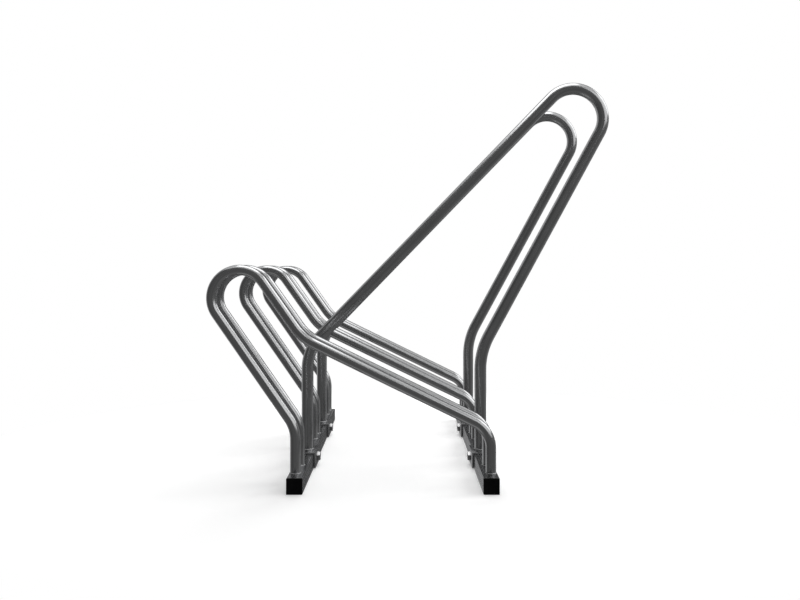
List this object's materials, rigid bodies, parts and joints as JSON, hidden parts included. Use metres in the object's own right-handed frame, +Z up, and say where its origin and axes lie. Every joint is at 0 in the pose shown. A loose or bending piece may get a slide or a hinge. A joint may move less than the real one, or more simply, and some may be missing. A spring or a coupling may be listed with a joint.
{
  "type": "bike parking stand",
  "caption": "Free-standing floor rack of bent steel tube: pairs of low hoops that hold front wheels and tall leaning hoops between them, on two square floor rails.",
  "frame": {"origin": "on the floor, in the middle of the stand's outline seen from above", "axes": "+Y runs along the floor rails from the front to the rear, +X across them from the side where the wheels go in towards the side the tall hoops lean to, and +Z is up"},
  "size_m": [0.8077, 0.836, 0.8087],
  "materials": {
    "steel": "smooth, glossy grey galvanised steel",
    "zinc": "bright zinc plate",
    "plastic": "black moulded plastic"
  },
  "bodies": {
    "root": {"rail_left": "steel", "rail_right": "steel", "wheel_hoop_1_front": "steel", "wheel_hoop_1_rear": "steel", "wheel_hoop_2_front": "steel", "wheel_hoop_2_rear": "steel", "wheel_hoop_3_front": "steel", "wheel_hoop_3_rear": "steel", "tall_hoop_1": "steel", "tall_hoop_2": "steel", "saddle_bracket_left_1": "steel", "saddle_bracket_left_2": "steel", "saddle_bracket_right_1": "steel", "saddle_bracket_right_2": "steel", "bolt_left_1": "zinc", "bolt_left_2": "zinc", "bolt_right_1": "zinc", "bolt_right_2": "zinc", "nut_washer_left_1": "zinc", "nut_washer_left_2": "zinc", "nut_washer_right_1": "zinc", "nut_washer_right_2": "zinc", "nut_left_1": "zinc", "nut_left_2": "zinc", "nut_right_1": "zinc", "nut_right_2": "zinc", "plug_left_front": "plastic", "plug_left_rear": "plastic", "plug_right_front": "plastic", "plug_right_rear": "plastic"}
  },
  "joints": []
}
